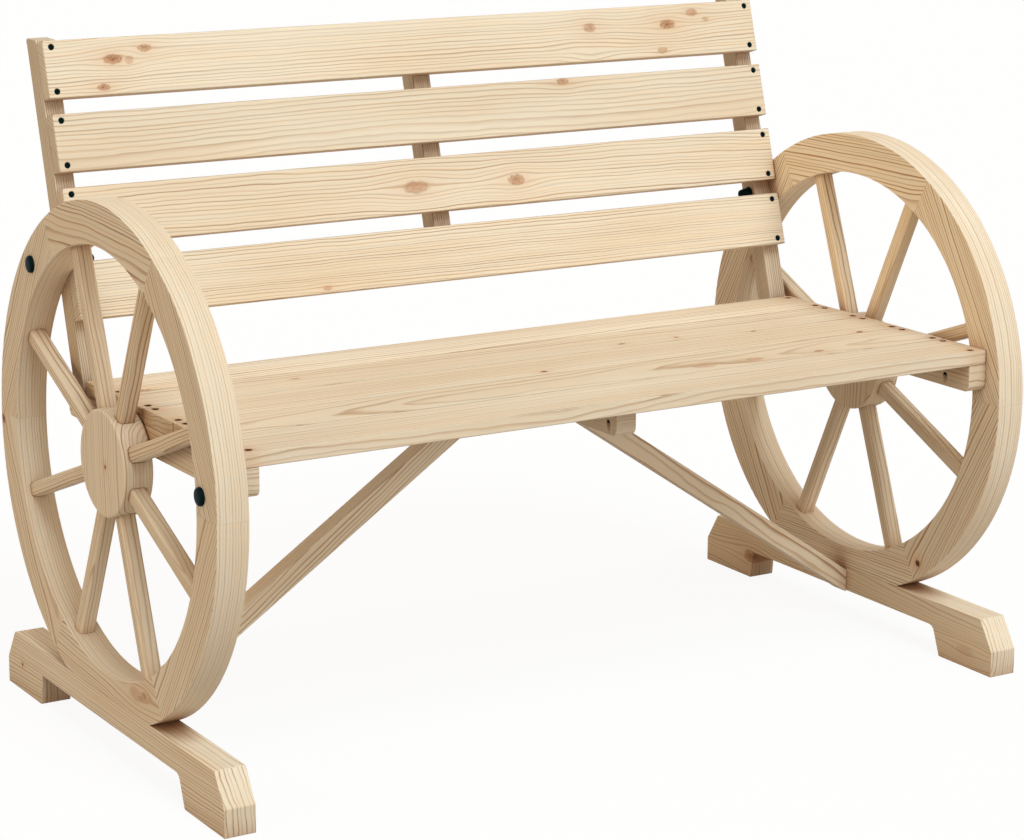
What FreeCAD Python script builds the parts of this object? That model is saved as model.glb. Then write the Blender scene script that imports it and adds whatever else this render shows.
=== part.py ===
import FreeCAD, Part
import math
import os

Vector = FreeCAD.Vector
AXIS_X = Vector(1, 0, 0)
AXIS_Y = Vector(0, 1, 0)
AXIS_Z = Vector(0, 0, 1)
ORIGIN = Vector(0, 0, 0)

# A two-seat garden bench between two wagon wheels, in millimetres and degrees.
# X runs along the seat, +Y to the back, Z up from the floor under the middle.

# Overall sizes: the length over the outer faces of the wheels, the seat's top above the
# middle of the wheels and the top of the back above the seat
bench_length = 1100.0
seat_above_wheel_middle = 66.8
back_above_seat = 388.6

# Wheel rim: felloes with square-cut ends on the radii, the lowest cut flat on its foot
wheel_radius = 300.0
rim_width = 50.0
rim_thickness = 38.0
rim_flat_depth = 23.4
felloe_count = 6

# Hub and spokes: each spoke is let into the hub and into the rim
hub_radius = 62.5
hub_thickness = 36.0
hub_edge_ease = 1.5
spoke_count = 8
spoke_turn = 2.4
spoke_width = 18.0
spoke_thickness = 20.0
spoke_corner_ease = 2.8
spoke_depth_in_hub = 12.0
spoke_depth_in_rim = 8.0

# Feet: one long block under each wheel, arched between a front and a rear pad
foot_length = 611.0
foot_height = 70.0
foot_chamfer_length = 23.5
foot_chamfer_height = 37.5
arch_height = 37.0
arch_corner_round = 10.0
front_pad_length = 101.0
front_pad_slope = 14.0
rear_pad_length = 105.0
rear_pad_slope = 4.0

# Seat: butted planks across three bearers
plank_count = 5
plank_gap = 0.4
plank_thickness = 18.0
board_edge_ease = 1.0
bearer_width = 26.0
bearer_depth = 33.0
bearer_corner_round = 9.0
bearer_behind_post = 17.7
centre_bearer_width = 27.0
centre_bearer_setback = 28.0
seat_before_posts = 5.4

# Back: slats on the front of two posts, which lean back and stand on the end bearers, and
# of a short batten that ties their middles together
back_tilt = 16.2
slat_plane_at_seat = 118.6
slat_count = 4
slat_above_seat = 70.0
slat_gap = 18.5
slat_thickness = 18.0
slat_end_gap = 0.6
post_width = 25.0
post_depth = 28.0
post_corner_round = 4.0
post_below_slats = 1.0
batten_width = 25.0
batten_depth = 28.0
batten_end_setback = 9.0

# Braces: square bars from the feet up to the sides of the centre bearer
brace_width = 26.0
brace_depth = 25.0
brace_height_at_foot = 50.4
brace_rise_on_bearer = 21.0

# Small round pieces are drawn with flat sides, to keep the model light
dowel_sides = 8
shank_sides = 5
screw_head_sides = 8
bolt_sides = 8
bolt_head_sides = 16

# An edge runs along an axis when their directions agree this closely
straightness_share = 1e-6

# Fits: wood glued in wood, a shank in its hole, a head in its bore, cuts run past a face
glue_gap = 0.15
shank_gap = 0.2
head_gap = 0.5
overrun = 5.0

# Dowels in the joints between the felloes
dowel_diameter = 8.0
dowel_length = 32.0

# Domed bolts through the rims, at the rear with a washer and a domed nut
bolt_diameter = 8.0
bolt_head_diameter = 20.6
bolt_head_height = 5.0
bolt_head_edge = 1.2
dome_height_shares = (0.0, 0.62, 1.0)
dome_radius_shares = (1.0, 0.78, 0.36)
rear_bolt_from_tread = 24.2
front_bolt_from_rim_inside = 12.9
front_bolt_from_bearer_end = 11.5
front_bolt_above_bearer = 7.0
front_bolt_depth_in_bearer = 20.0
washer_diameter = 17.0
washer_thickness = 1.6
nut_across_flats = 13.0
nut_hexagon_height = 6.5
nut_height = 15.0
nut_dome_diameter = 12.0
nut_thread_depth = 11.0

# Wood screws: sizes of their heads, and of the shanks in four lengths
screw_diameter = 3.6
screw_head_diameter = 7.0
screw_head_height = 2.6
screw_head_sunk = 0.6
slat_screw_length = 25.0
seat_screw_length = 29.0
pocket_screw_length = 32.0
frame_screw_length = 38.0
foot_screw_length = 46.0

# Places of the screws
slat_screw_from_end = 10.9
slat_screw_from_edge = 8.0
seat_screw_from_end = 11.0
front_screw_from_end = 18.0
seat_screw_from_plank_middle = 30.0
pocket_behind_plank_middle = 6.0
pocket_height_on_bearer = 10.5
pocket_angle = 30.0
pocket_depth = 6.0
pocket_run = 24.0
foot_screw_from_middle = 60.0
foot_screw_bore = 10.0
brace_screw_depth_at_foot = 14.0
brace_screw_depth_at_bearer = 20.0
brace_screw_offset = 5.0

# Sizes that follow from the ones above
rim_inner_radius = wheel_radius - rim_width
wheel_centre_height = foot_height + wheel_radius - rim_flat_depth
wheel_middle_x = (bench_length - rim_thickness) / 2
rim_inner_x = bench_length / 2 - rim_thickness
rim_outer_x = bench_length / 2
felloe_angle = 360 / felloe_count
spoke_angle = 360 / spoke_count
bottom_angle = 270
seat_height = wheel_centre_height + seat_above_wheel_middle
bench_height = seat_height + back_above_seat
bearer_top = seat_height - plank_thickness
bearer_bottom = bearer_top - bearer_depth
post_middle_x = rim_inner_x - post_width / 2
post_middle_depth = slat_thickness + post_depth / 2
slat_half_length = rim_inner_x - slat_end_gap
tilt = math.radians(back_tilt)
back_plane_at_floor = slat_plane_at_seat - seat_height * math.tan(tilt)
lowest_slat_edge = (seat_height + slat_above_seat) / math.cos(tilt)
slats_span = bench_height / math.cos(tilt) - lowest_slat_edge
slat_pitch = (slats_span + slat_gap) / slat_count
slat_width = slat_pitch - slat_gap
front_bolt_height = bearer_bottom + front_bolt_above_bearer
front_bolt_radius = rim_inner_radius + front_bolt_from_rim_inside
front_bolt_rise = front_bolt_height - wheel_centre_height
front_bolt_y = -math.sqrt(front_bolt_radius ** 2 - front_bolt_rise ** 2)
seat_front = front_bolt_from_bearer_end - front_bolt_y


def wheel_point(radius, angle):
    """A point on the middle plane of a wheel that stands at x = 0."""
    turn = math.radians(angle)
    return Vector(0, radius * math.cos(turn), wheel_centre_height + radius * math.sin(turn))


def back_point(along, behind, x=0):
    """A point by its way up the leaning back and its depth behind the slats' front."""
    y = back_plane_at_floor + along * math.sin(tilt) + behind * math.cos(tilt)
    return Vector(x, y, along * math.cos(tilt) - behind * math.sin(tilt))


def back_point_at_height(height, behind, x=0):
    """The point of the leaning back at this height and this depth behind the front."""
    return back_point((height + behind * math.sin(tilt)) / math.cos(tilt), behind, x)


seat_rear = back_point_at_height(bearer_top, slat_thickness).y - seat_before_posts
bearer_rear = back_point_at_height(bearer_top, slat_thickness + post_depth).y + bearer_behind_post
plank_pitch = (seat_front + seat_rear + plank_gap) / plank_count


def profile(points, push):
    """A prism: the closed outline through the points, pushed along a vector."""
    return Part.Face(Part.makePolygon(points + points[:1])).extrude(push)


def polygon(sides, radius, height):
    """The corners of a level regular polygon about the upright axis."""
    turns = [2 * math.pi * number / sides for number in range(sides + 1)]
    return [Vector(radius * math.cos(turn), radius * math.sin(turn), height) for turn in turns]


def placed(solid, start, direction):
    """A solid made upright on the origin, set at a start and along a direction."""
    solid.Placement = FreeCAD.Placement(start, FreeCAD.Rotation(AXIS_Z, direction))
    return solid


def rod(sides, radius, length, start, direction):
    """A straight rod with flat sides."""
    face = Part.Face(Part.makePolygon(polygon(sides, radius, 0)))
    return placed(face.extrude(AXIS_Z * length), start, direction)


def dome(sides, radius, edge, height, start, direction):
    """A dome with flat sides on an upright edge."""
    rings = [Part.makePolygon(polygon(sides, radius, 0))]
    for height_share, radius_share in zip(dome_height_shares, dome_radius_shares):
        level = edge + (height - edge) * height_share
        rings.append(Part.makePolygon(polygon(sides, radius * radius_share, level)))
    return placed(Part.makeLoft(rings, True, True), start, direction)


def rounded(solid, radius, wanted):
    """The solid with a round on each edge that the test picks."""
    return solid.makeFillet(radius, [edge for edge in solid.Edges if wanted(edge)])


def eased(solid, amount):
    """The solid with every edge planed off a little."""
    return solid.makeChamfer(amount, solid.Edges)


def runs_along(edge, axis):
    """Whether a straight edge runs along an axis."""
    start, end = edge.Vertexes[0].Point, edge.Vertexes[-1].Point
    return abs(abs((end - start).normalize().dot(axis)) - 1) < straightness_share


def cut_by(solid, tools):
    """The solid less every tool."""
    return solid.cut(Part.makeCompound(tools)).removeSplitter() if tools else solid


def mirrored(shape):
    """The same piece on the left of the bench."""
    return shape.mirror(ORIGIN, AXIS_X)


def board(x_range, y_range, z_range):
    """A planed board between pairs of coordinates, its edges eased."""
    corner = Vector(x_range[0], y_range[0], z_range[0])
    sizes = [high - low for low, high in (x_range, y_range, z_range)]
    return eased(Part.makeBox(*sizes, corner), board_edge_ease)


# Fasteners: each function gives the solid and the hole that it needs


def screw(seat, direction, length, bore_length):
    """A wood screw whose head rests at the seat, with the bore that lets the head in."""
    radius, head_radius = screw_diameter / 2, screw_head_diameter / 2
    head = rod(screw_head_sides, head_radius, screw_head_height, seat, -direction)
    shank = rod(shank_sides, radius, length, seat, direction)
    hole = rod(shank_sides, radius + shank_gap, length + shank_gap, seat, direction)
    bore = rod(screw_head_sides, head_radius + head_gap, bore_length, seat, -direction)
    return head.fuse(shank), hole.fuse(bore)


def sunk_screw(face_point, direction, length):
    """A screw whose head lies just under the face that it goes in through."""
    sink = screw_head_sunk + screw_head_height
    return screw(face_point + direction * sink, direction, length, sink + overrun)


def rim_bolt(place, length):
    """A domed bolt driven in from the outer face of the right rim."""
    head_radius, radius = bolt_head_diameter / 2, bolt_diameter / 2
    head = dome(bolt_head_sides, head_radius, bolt_head_edge, bolt_head_height, place, AXIS_X)
    shank = rod(bolt_sides, radius, length, place, -AXIS_X)
    start = place + AXIS_X * overrun
    hole = rod(bolt_sides, radius + shank_gap, length + shank_gap + overrun, start, -AXIS_X)
    return head.fuse(shank), hole


def domed_nut(place):
    """A domed nut on the inner side of the right back post, and its blind thread."""
    corner_radius = nut_across_flats / math.sqrt(3)
    hexagon = rod(6, corner_radius, nut_hexagon_height, place, -AXIS_X)
    edge = (nut_height + nut_hexagon_height) / 2
    crown = dome(bolt_sides, nut_dome_diameter / 2, edge, nut_height, place, -AXIS_X)
    thread = rod(bolt_sides, bolt_diameter / 2 + shank_gap, nut_thread_depth, place, -AXIS_X)
    return hexagon.fuse(crown).cut(thread).removeSplitter()


def washer(place):
    """The washer between the back post and its nut."""
    disc = rod(bolt_head_sides, washer_diameter / 2, washer_thickness, place, -AXIS_X)
    return disc.cut(rod(bolt_sides, bolt_diameter / 2 + shank_gap, washer_thickness, place, -AXIS_X))


def rear_bolt_place():
    """Where the post's middle line crosses the bolt circle, on the rim's outer face."""
    start = back_point(0, post_middle_depth)
    across = start.z - wheel_centre_height
    half = start.y * math.sin(tilt) + across * math.cos(tilt)
    rest = start.y ** 2 + across ** 2 - (wheel_radius - rear_bolt_from_tread) ** 2
    return back_point(-half + math.sqrt(half ** 2 - rest), post_middle_depth, rim_outer_x)


def front_bolt_place():
    """Near the front end of the bearer, on the rim's outer face."""
    return Vector(rim_outer_x, front_bolt_y, front_bolt_height)


# Wheel parts, made for a wheel at x = 0


def spoke(angle, gap=0):
    """One spoke from socket to socket, or with a gap its socket."""
    start = hub_radius - spoke_depth_in_hub - gap
    end = rim_inner_radius + spoke_depth_in_rim + gap
    width, thickness = spoke_width + 2 * gap, spoke_thickness + 2 * gap
    bar = Part.makeBox(thickness, end - start, width, Vector(-thickness / 2, start, -width / 2))
    long_edges = [edge for edge in bar.Edges if runs_along(edge, AXIS_Y)]
    bar = bar.makeChamfer(spoke_corner_ease, long_edges)
    bar.rotate(ORIGIN, AXIS_X, angle)
    bar.translate(wheel_point(0, 0))
    return bar


def dowel(angle, gap=0):
    """The dowel across one joint of the rim, or with a gap its hole."""
    middle = wheel_point((wheel_radius + rim_inner_radius) / 2, angle)
    along = wheel_point(1, angle + 90) - wheel_point(0, 0)
    half = dowel_length / 2 + gap
    return rod(dowel_sides, dowel_diameter / 2 + gap, 2 * half, middle - along * half, along)


def felloe(start_angle):
    """One sixth of the rim: its section turned about the wheel's axis."""
    half = rim_thickness / 2
    inner, outer = wheel_point(rim_inner_radius, start_angle), wheel_point(wheel_radius, start_angle)
    section = [inner - AXIS_X * half, outer - AXIS_X * half]
    section += [outer + AXIS_X * half, inner + AXIS_X * half]
    face = Part.Face(Part.makePolygon(section + section[:1]))
    return face.revolve(wheel_point(0, 0), AXIS_X, felloe_angle)


def below_foot_top():
    """The space under the top of the foot, which the lowest felloe leaves free."""
    low = wheel_centre_height - wheel_radius - overrun
    size = (rim_thickness + 2 * overrun, 2 * wheel_radius, foot_height - low)
    return Part.makeBox(*size, Vector(-size[0] / 2, -wheel_radius, low))


def hub():
    """The turned hub with a socket for every spoke."""
    start = wheel_point(0, 0) - AXIS_X * (hub_thickness / 2)
    disc = eased(Part.makeCylinder(hub_radius, hub_thickness, start, AXIS_X), hub_edge_ease)
    return cut_by(disc, [spoke(angle, glue_gap) for angle in spoke_angles])


spoke_angles = [spoke_angle * (number + 0.5) + spoke_turn for number in range(spoke_count)]
joint_angles = [felloe_angle * number for number in range(felloe_count)]


# Frame parts


def foot():
    """A foot's outline, arched below and cut back at its upper ends, across the rim."""
    half = foot_length / 2
    front_inner = -half + front_pad_length
    rear_inner = half - rear_pad_length
    outline = [
        (-half, 0), (front_inner, 0), (front_inner + front_pad_slope, arch_height),
        (rear_inner - rear_pad_slope, arch_height), (rear_inner, 0), (half, 0),
        (half, foot_height - foot_chamfer_height), (half - foot_chamfer_length, foot_height),
        (-half + foot_chamfer_length, foot_height), (-half, foot_height - foot_chamfer_height),
    ]
    block = profile([Vector(rim_inner_x, y, z) for y, z in outline], AXIS_X * rim_thickness)

    def in_front_corner(edge):
        point = edge.CenterOfMass
        corner = Vector(point.x, front_inner + front_pad_slope, arch_height)
        return runs_along(edge, AXIS_X) and point.distanceToPoint(corner) < glue_gap

    return rounded(block, arch_corner_round, in_front_corner)


def bearer(x_low, width, front):
    """A bearer under the planks, the lower corners of both its ends rounded."""
    size = (width, bearer_rear + front, bearer_depth)
    bar = Part.makeBox(*size, Vector(x_low, -front, bearer_bottom))

    def low_corner(edge):
        return runs_along(edge, AXIS_X) and edge.CenterOfMass.z < bearer_bottom + glue_gap

    return rounded(bar, bearer_corner_round, low_corner)


def post():
    """The right back post: level foot on its bearer, level top, upper rear corner rounded."""
    front, rear = slat_thickness, slat_thickness + post_depth
    x, top = rim_inner_x - post_width, bench_height - post_below_slats
    outline = [
        back_point_at_height(bearer_top, front, x), back_point_at_height(top, front, x),
        back_point_at_height(top, rear, x), back_point_at_height(bearer_top, rear, x),
    ]
    bar = profile(outline, AXIS_X * post_width)
    top_corner = outline[2]

    def rear_corner(edge):
        point = edge.CenterOfMass
        level = Vector(top_corner.x, point.y, point.z)
        return runs_along(edge, AXIS_X) and level.distanceToPoint(top_corner) < glue_gap

    return rounded(bar, post_corner_round, rear_corner)


def batten():
    """The batten behind the slats' middles, square at both ends, its edges eased."""
    top = slat_top(0) - batten_end_setback
    bottom = slat_top(slat_count - 1) - slat_width + batten_end_setback
    y_range = (slat_thickness, slat_thickness + batten_depth)
    return leaned_back(board((-batten_width / 2, batten_width / 2), y_range, (bottom, top)))


def plank(number):
    """A seat plank, counted from the front."""
    front = -seat_front + plank_pitch * number
    y_range = (front, front + plank_pitch - plank_gap)
    return board((-rim_inner_x, rim_inner_x), y_range, (bearer_top, seat_height))


def plank_middle(number):
    """The middle of a seat plank along Y."""
    return -seat_front + plank_pitch * number + (plank_pitch - plank_gap) / 2


def slat_top(number):
    """How far up the leaning back a slat's upper edge lies, counted from the top."""
    return bench_height / math.cos(tilt) - slat_pitch * number


def leaned_back(piece):
    """A piece made upright, turned to lie along the leaning back."""
    piece.rotate(ORIGIN, AXIS_X, -back_tilt)
    piece.translate(AXIS_Y * back_plane_at_floor)
    return piece


def slat(number):
    """A back slat, counted from the top."""
    z_range = (slat_top(number) - slat_width, slat_top(number))
    return leaned_back(board((-slat_half_length, slat_half_length), (0, slat_thickness), z_range))


def brace():
    """The right brace: upright cuts at the foot and the bearer, level cut under the seat."""
    inner_x, outer_x = centre_bearer_width / 2, rim_inner_x
    inner_z = bearer_bottom + brace_rise_on_bearer
    rise_share = (inner_z - brace_height_at_foot) / (outer_x - inner_x)
    half = brace_depth / 2 * math.sqrt(1 + rise_share ** 2)
    outline = [(outer_x, brace_height_at_foot - half), (inner_x, inner_z - half)]
    if inner_z + half > bearer_top:
        level_x = inner_x + (inner_z + half - bearer_top) / rise_share
        outline += [(inner_x, bearer_top), (level_x, bearer_top)]
    else:
        outline += [(inner_x, inner_z + half)]
    outline += [(outer_x, brace_height_at_foot + half)]
    return profile([Vector(x, -brace_width / 2, z) for x, z in outline], AXIS_Y * brace_width)


# Every fastener of the right half and of the middle, with its hole


def clear_of_braces(y):
    """The place along a bearer, moved beside the braces where they would be in its way."""
    least = brace_width / 2 + screw_head_diameter
    return y if abs(y) > least else math.copysign(least, y)


def pocket_screw(face_x, y, lean):
    """A slanted screw up through a bearer's side into a plank; lean is its side in X."""
    turn = math.radians(pocket_angle)
    direction = Vector(lean * math.sin(turn), 0, math.cos(turn))
    mouth = Vector(face_x, y, bearer_bottom + pocket_height_on_bearer)
    return screw(mouth + direction * pocket_depth, direction, pocket_screw_length, pocket_run)


def seat_screws():
    """Two screws down through each plank into the right bearer."""
    found = []
    for number in range(plank_count):
        for side in (-1, 1):
            y = plank_middle(number) + side * seat_screw_from_plank_middle
            inset = front_screw_from_end if number == 0 and side < 0 else seat_screw_from_end
            place = Vector(rim_inner_x - inset, y, seat_height)
            found.append(sunk_screw(place, -AXIS_Z, seat_screw_length))
    return found


def slat_screws():
    """Two screws through each slat into the right post."""
    back_inwards = back_point(0, 1) - back_point(0, 0)
    x = slat_half_length - slat_screw_from_end
    found = []
    for number in range(slat_count):
        upper = slat_top(number) - slat_screw_from_edge
        lower = slat_top(number) - slat_width + slat_screw_from_edge
        for along in (upper, lower):
            found.append(sunk_screw(back_point(along, 0, x), back_inwards, slat_screw_length))
    return found


def batten_screws():
    """One screw from behind through the batten into each slat's middle."""
    forwards = back_point(0, 0) - back_point(0, 1)
    found = []
    for number in range(slat_count):
        place = back_point(slat_top(number) - slat_width / 2, slat_thickness + batten_depth)
        found.append(sunk_screw(place, forwards, frame_screw_length - screw_head_height))
    return found


def post_foot_screw():
    """A screw up through the right bearer into the foot of the post on it."""
    y = back_point_at_height(bearer_top, post_middle_depth).y
    length = bearer_depth + frame_screw_length / 2
    return sunk_screw(Vector(post_middle_x, y, bearer_bottom), AXIS_Z, length)


def foot_screws():
    """Two screws up through the right foot's arch into the lowest felloe."""
    found = []
    for side in (-1, 1):
        seat = Vector(wheel_middle_x, side * foot_screw_from_middle, arch_height + foot_screw_bore)
        found.append(screw(seat, AXIS_Z, foot_screw_length, foot_screw_bore + overrun))
    return found


def brace_screws():
    """A level screw from the right brace into its foot, and one into the centre bearer."""
    low_x = rim_inner_x - brace_screw_depth_at_foot
    low = screw(Vector(low_x, 0, brace_height_at_foot), AXIS_X, frame_screw_length, pocket_run)
    high_x = centre_bearer_width / 2 + brace_screw_depth_at_bearer
    high_place = Vector(high_x, brace_screw_offset, (bearer_top + bearer_bottom) / 2)
    length = brace_screw_depth_at_bearer + centre_bearer_width / 2
    return [low, screw(high_place, -AXIS_X, length - shank_gap, pocket_run)]


def solids(found):
    """The fasteners alone."""
    return [solid for solid, hole in found]


def holes(found):
    """Their holes alone."""
    return [hole for solid, hole in found]


def both_sides(shapes):
    """The shapes and their mirror images on the left."""
    return shapes + [mirrored(shape) for shape in shapes]


def turned_about(shape):
    """The shape turned half a turn about the upright middle line of the bench."""
    copy = shape.copy()
    copy.rotate(ORIGIN, AXIS_Z, 180)
    return copy


def build():
    """Every node of the bench by name, each a list of solids."""
    nodes = {}
    post_inner_x = rim_inner_x - post_width
    rear_place, front_place = rear_bolt_place(), front_bolt_place()
    rear_length = rim_outer_x - post_inner_x + washer_thickness + nut_thread_depth - shank_gap
    rear_bolt = rim_bolt(rear_place, rear_length)
    front_bolt = rim_bolt(front_place, rim_thickness + front_bolt_depth_in_bearer)
    bolts = [rear_bolt, front_bolt]
    washer_place = Vector(post_inner_x, rear_place.y, rear_place.z)

    seat_found, slat_found = seat_screws(), slat_screws()
    foot_found, brace_found = foot_screws(), brace_screws()
    post_found, batten_found = post_foot_screw(), batten_screws()
    bearer_inner_x = rim_inner_x - bearer_width
    places = [plank_middle(number) + pocket_behind_plank_middle for number in range(plank_count)]
    end_pockets = [pocket_screw(bearer_inner_x, y, 1) for y in (places[0], places[-1])]
    centre_x = -centre_bearer_width / 2
    centre_pockets = [pocket_screw(centre_x, clear_of_braces(y), 1) for y in places]

    # Wheels, feet and the other pieces that come in a left and a right one
    wheel_holes = [hole.translated(AXIS_X * -wheel_middle_x) for hole in holes(bolts + foot_found)]
    right = {}
    for number, angle in enumerate(joint_angles, 1):
        tools = [spoke(turn, glue_gap) for turn in spoke_angles if angle < turn < angle + felloe_angle]
        tools += [dowel(end, glue_gap) for end in (angle, angle + felloe_angle)]
        tools += wheel_holes
        if angle < bottom_angle < angle + felloe_angle:
            tools.append(below_foot_top())
        right["wheel_felloe_%d" % number] = cut_by(felloe(angle), tools)
    for number, angle in enumerate(spoke_angles, 1):
        right["wheel_spoke_%d" % number] = spoke(angle)
    right["wheel_hub"] = hub()
    for name in right:
        right[name] = right[name].translated(AXIS_X * wheel_middle_x)
    right["foot"] = cut_by(foot(), holes(foot_found + brace_found))
    end_holes = holes(bolts + seat_found + end_pockets + [post_found])
    right["seat_bearer"] = cut_by(bearer(bearer_inner_x, bearer_width, seat_front), end_holes)
    right["back_post"] = cut_by(post(), holes(bolts + slat_found + [post_found]))
    right["brace"] = cut_by(brace(), holes(brace_found))
    for name, shape in right.items():
        nodes["right_" + name] = [shape]
        nodes["left_" + name] = [turned_about(shape) if name == "brace" else mirrored(shape)]

    # Seat, centre bearer, batten and slats
    side_holes = both_sides(holes(seat_found + end_pockets))
    for number in range(plank_count):
        tools = side_holes + holes(centre_pockets)
        nodes["seat_plank_%d" % (number + 1)] = [cut_by(plank(number), tools)]
    centre_front = seat_front - centre_bearer_setback
    centre_bearer = bearer(-centre_bearer_width / 2, centre_bearer_width, centre_front)
    brace_holes = [brace_found[1][1], turned_about(brace_found[1][1])]
    tools = holes(centre_pockets) + brace_holes
    nodes["centre_seat_bearer"] = [cut_by(centre_bearer, tools)]
    nodes["centre_back_batten"] = [cut_by(batten(), holes(batten_found))]
    for number in range(slat_count):
        tools = both_sides(holes(slat_found)) + holes(batten_found)
        nodes["back_slat_%d" % (number + 1)] = [cut_by(slat(number), tools)]

    # Fasteners, each kind in one node
    dowels = [dowel(angle).translated(AXIS_X * wheel_middle_x) for angle in joint_angles]
    nodes["rim_dowels"] = both_sides(dowels)
    nodes["rim_bolts"] = both_sides(solids(bolts))
    nodes["rim_washers"] = both_sides([washer(washer_place)])
    nodes["rim_nuts"] = both_sides([domed_nut(washer_place - AXIS_X * washer_thickness)])
    nodes["seat_screws"] = both_sides(solids(seat_found))
    nodes["slat_screws"] = both_sides(solids(slat_found))
    nodes["pocket_screws"] = both_sides(solids(end_pockets)) + solids(centre_pockets)
    nodes["post_foot_screws"] = both_sides([post_found[0]])
    nodes["batten_screws"] = solids(batten_found)
    nodes["foot_screws"] = both_sides(solids(foot_found))
    low_screw, high_screw = solids(brace_found)
    nodes["brace_screws"] = both_sides([low_screw]) + [high_screw, turned_about(high_screw)]
    return nodes


os.makedirs("parts", exist_ok=True)
for name, pieces in build().items():
    shape = pieces[0] if len(pieces) == 1 else Part.makeCompound(pieces)
    shape.exportStep("parts/%s.step" % name)
    print(name, len(shape.Solids), "valid" if shape.isValid() else "NOT VALID")
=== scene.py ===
"""The looks of a wagon wheel garden bench of planed, unfinished fir."""

import math
import random

import bpy
from mathutils import Euler, Matrix, Vector


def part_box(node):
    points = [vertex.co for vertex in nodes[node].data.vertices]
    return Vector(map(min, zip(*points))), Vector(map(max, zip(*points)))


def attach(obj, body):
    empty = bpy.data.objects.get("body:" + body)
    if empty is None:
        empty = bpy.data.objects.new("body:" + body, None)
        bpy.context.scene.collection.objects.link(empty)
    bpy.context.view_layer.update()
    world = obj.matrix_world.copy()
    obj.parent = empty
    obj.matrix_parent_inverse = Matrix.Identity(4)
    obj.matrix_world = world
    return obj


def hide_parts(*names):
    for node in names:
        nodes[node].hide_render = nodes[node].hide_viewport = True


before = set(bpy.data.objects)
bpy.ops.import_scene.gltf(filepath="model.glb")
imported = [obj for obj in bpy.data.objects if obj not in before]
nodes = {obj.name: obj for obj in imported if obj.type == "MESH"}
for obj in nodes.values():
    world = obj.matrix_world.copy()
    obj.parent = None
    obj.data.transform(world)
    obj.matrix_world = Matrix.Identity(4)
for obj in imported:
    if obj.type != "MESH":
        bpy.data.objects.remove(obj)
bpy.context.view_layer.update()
draw = random.Random(11)
MM = 0.001

# The camera that took the photograph, in the row frame
CAMERA_PLACE = (-1.8151, -2.9434, 1.1673)
CAMERA_YAW = 30.336
CAMERA_PITCH = -12.409
FOCAL_LENGTH_PX = 2897.5
IMAGE_WIDTH_PX, IMAGE_HEIGHT_PX = 1024, 840
AXIS_PX = (449.58, 359.35)
SENSOR_WIDTH = 36.0

# Light: strengths at which a colour on a lit face looks about as it is written. Each lamp has its
# height and its heading round from the front in degrees, strength, softness in degrees and colour.
# The floor has half its width in metres, the light that it throws back and how much of it glows.
WHITE = (1.0, 1.0, 1.0, 1.0)
SURROUND_COLOUR = (1.0, 0.765, 0.545, 1.0)
SURROUND_STRENGTH = 0.385
LAMPS = {
    "key": (53.0, 0.0, 2.07, 30.0, (0.80, 0.922, 1.0)),
    "front": (12.0, 0.0, 0.52, 30.0, (0.92, 0.97, 1.0)),
    "left": (20.0, -86.0, 0.60, 30.0, (1.0, 0.85, 0.62)),
    "right": (12.0, 90.0, 0.45, 30.0, (1.0, 0.90, 0.76)),
    "back": (16.0, 180.0, 0.6, 30.0, (1.0, 0.90, 0.76)),
}
FLOOR_HALF_WIDTH = 20.0
FLOOR_BOUNCE = (0.43, 0.39, 0.35, 1.0)
FLOOR_GLOW_SHARE = 0.92

# Colours as they look on screen, 0 to 255
EARLY_WOOD = (240, 226, 202)
LATE_WOOD = (173, 130, 88)
WARM_WOOD = (221, 190, 150)
# Paler wood on the edges: rubbed wear and a painted highlight
WORN_AND_HIGHLIT_WOOD = (246, 232, 206)
# Painted shade: the tint that darkens wood in nooks, where less light reaches
PAINTED_NOOK_SHADE = (176, 128, 82)
KNOT_HEART = (204, 144, 102)
KNOT_EDGE = (92, 58, 38)
KNOT_HALO = (220, 179, 139)
BLACK_STEEL, BLACK_STEEL_PALE = (3, 22, 25), (7, 32, 35)
# Seat screw heads: dark brown, painted shade of the holes that they sit in
HOLE_SHADE_STEEL, HOLE_SHADE_STEEL_PALE = (14, 9, 6), (34, 22, 15)
WORN_STEEL = (40, 62, 64)

# How often a feature comes in a metre: in wood along the grain, across it and out of the face,
# but for the drift of the ring width, which is counted out from the pith
SLOW_BENDS = (2.3, 6, 6)
QUICK_BENDS = (13, 42, 42)
RING_DRIFTS = 70.0
PATCHES = (3.1, 30, 30)
BLOTCHES = (2.6, 15, 15)
STREAKS = (5, 230, 230)
FIBRES = (24, 1400, 1400)
KNOT_FRAY = (170, 260, 20)
KNOT_FLECKS = (420, 700, 60)
STEEL_MOTTLE = (420, 420, 420)

# Metres: how far the rings bend, the pith of a rim's round faces, and how far the painted shade in a nook
# reaches
SLOW_BEND_REACH = 0.055
QUICK_BEND_REACH = 0.0042
ROUND_PITH = (0.03, -0.07)
PAINTED_SHADE_REACH = 0.04

# How many rings the ring width drifts by, and how much larger than a knot, along the grain,
# across it and out of the face, the place is where the rings part round it
RING_DRIFT_REACH = 3.0
PARTING = (3.2, 2.6, 1)

# How far a rounded normal has left the true one, as their product, where the edges' wear and painted
# highlight start and are full
WEAR_AND_HIGHLIGHT_START, WEAR_AND_HIGHLIGHT_FULL = 0.985, 0.86

# Metres between points that are welded, steps of a rounded edge, and the angles in degrees above
# which a CAD edge is rounded and a turned fastener's edge is sharp
WELD_REACH = 0.00001
EDGE_SEGMENTS = 2
EDGE_ANGLE = 30
SHARP_ANGLE = 38

# Finding the solids of a grouped node: decimals of a metre to which twin corners agree, and how
# many millimetres deep the flat end of a solid is taken
TWIN_DECIMALS = 5
END_DEPTH = 0.05

# Places of a colour Mix node's sockets
MIX_SHARE, MIX_FIRST, MIX_SECOND, MIX_RESULT = 0, 6, 7, 2


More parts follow.
